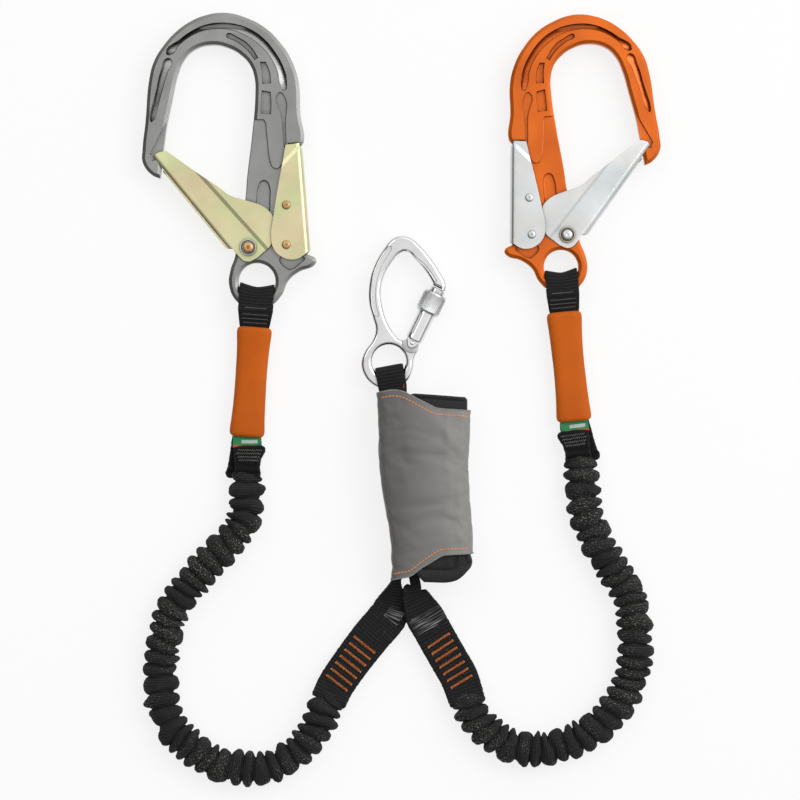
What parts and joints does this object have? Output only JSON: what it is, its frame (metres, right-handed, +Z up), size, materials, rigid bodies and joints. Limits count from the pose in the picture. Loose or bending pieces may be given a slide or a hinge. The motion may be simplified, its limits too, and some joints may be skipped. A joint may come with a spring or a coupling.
{
  "type": "energy absorbing y-lanyard",
  "caption": "Fall arrest lanyard with elastic legs ending in scaffold hooks, joined at a webbing absorber pack in a fabric cover with a screw gate carabiner on a sewn loop.",
  "frame": {"origin": "on the ground plane under the middle of the lanyard as it lies, without its elastic legs", "axes": "+Y towards the hooks, +X towards the orange hook, +Z up from the ground that it lies on"},
  "size_m": [0.4142, 0.6184, 0.0331],
  "materials": {
    "grey_hook": "satin grey anodised forging",
    "orange_hook": "glossy orange anodised forging",
    "gold_zinc": "yellow passivated zinc on sheet steel",
    "silver_zinc": "clear zinc on sheet steel",
    "rivet": "yellow plated rivet",
    "polished_steel": "bright polished steel",
    "spring_steel": "plain spring wire",
    "orange_rubber": "matte orange sleeve",
    "black_webbing": "woven black webbing",
    "elastic_core": "elastic strands",
    "green_tag": "woven green tag",
    "grey_fabric": "coated grey fabric"
  },
  "bodies": {
    "lanyard": {"absorber_cover": "grey_fabric", "absorber_inner_sleeve": "black_webbing", "absorber_tear_webbing": "black_webbing", "absorber_upper_strap": "black_webbing", "left_leg_webbing": "black_webbing", "left_elastic_webbing": "black_webbing", "left_elastic_core": "elastic_core", "left_sewn_cuff": "black_webbing", "left_inspection_tag": "green_tag", "left_grip_sleeve": "orange_rubber", "left_hook_strap": "black_webbing", "right_leg_webbing": "black_webbing", "right_elastic_webbing": "black_webbing", "right_elastic_core": "elastic_core", "right_sewn_cuff": "black_webbing", "right_inspection_tag": "green_tag", "right_grip_sleeve": "orange_rubber", "right_hook_strap": "black_webbing"},
    "left_hook": {"left_hook_body": "grey_hook", "left_gate_rivet": "rivet", "left_gate_washer_upper": "rivet", "left_gate_washer_lower": "rivet", "left_lever_rivet": "rivet", "left_gate_spring": "spring_steel", "left_lever_spring": "spring_steel"},
    "left_gate": {"left_gate": "gold_zinc"},
    "left_lever": {"left_lock_lever": "gold_zinc", "left_latch_rivet": "rivet"},
    "right_hook": {"right_hook_body": "orange_hook", "right_gate_rivet": "rivet", "right_gate_washer_upper": "silver_zinc", "right_gate_washer_lower": "silver_zinc", "right_lever_rivet": "rivet", "right_gate_spring": "spring_steel", "right_lever_spring": "spring_steel"},
    "right_gate": {"right_gate": "silver_zinc"},
    "right_lever": {"right_lock_lever": "silver_zinc", "right_latch_rivet": "rivet"},
    "carabiner": {"carabiner_body": "polished_steel", "carabiner_gate_pin": "polished_steel"},
    "carabiner_gate": {"carabiner_gate": "polished_steel", "carabiner_gate_plunger": "polished_steel", "carabiner_gate_spring": "spring_steel"},
    "lock_sleeve": {"carabiner_lock_sleeve": "polished_steel"}
  },
  "joints": [
    {"name": "left_hook_swing", "type": "hinge", "parent": "lanyard", "child": "left_hook", "pos_m": [-0.11523, 0.0634, 0.0111], "axis": [0, 0, 1], "range_deg": [-12, 35]},
    {"name": "left_gate_open", "type": "hinge", "parent": "left_hook", "child": "left_gate", "pos_m": [-0.12213, 0.0904, 0.0111], "axis": [0, 0, -1], "range_deg": [0, 33], "stiffness_Nm_per_rad": 0.35, "springref_deg": -20.05},
    {"name": "left_lever_press", "type": "hinge", "parent": "left_hook", "child": "left_lever", "pos_m": [-0.09173, 0.0925, 0.0111], "axis": [0, 0, 1], "range_deg": [0, 5], "stiffness_Nm_per_rad": 1.2, "springref_deg": -11.46},
    {"name": "right_hook_swing", "type": "hinge", "parent": "lanyard", "child": "right_hook", "pos_m": [0.12767, 0.0749, 0.0111], "axis": [0, 0, -1], "range_deg": [-12, 35]},
    {"name": "right_gate_open", "type": "hinge", "parent": "right_hook", "child": "right_gate", "pos_m": [0.13243, 0.10049, 0.0111], "axis": [0, 0, 1], "range_deg": [0, 33], "stiffness_Nm_per_rad": 0.35, "springref_deg": -20.05},
    {"name": "right_lever_press", "type": "hinge", "parent": "right_hook", "child": "right_lever", "pos_m": [0.10397, 0.10057, 0.0111], "axis": [0, 0, -1], "range_deg": [0, 5], "stiffness_Nm_per_rad": 1.2, "springref_deg": -11.46},
    {"name": "carabiner_swing", "type": "hinge", "parent": "lanyard", "child": "carabiner", "pos_m": [-0.00993, -0.0006, 0.0099], "axis": [0, 0, 1], "range_deg": [-25, 25]},
    {"name": "carabiner_gate_open", "type": "hinge", "parent": "carabiner", "child": "carabiner_gate", "pos_m": [0.00867, 0.0143, 0.0099], "axis": [0, 0, 1], "range_deg": [0, 30], "stiffness_Nm_per_rad": 0.12, "springref_deg": -20.05},
    {"name": "lock_sleeve_travel", "type": "slide", "parent": "carabiner_gate", "child": "lock_sleeve", "axis": [0.4347, 0.9006, 0], "range_m": [0, 0.0064]}
  ]
}
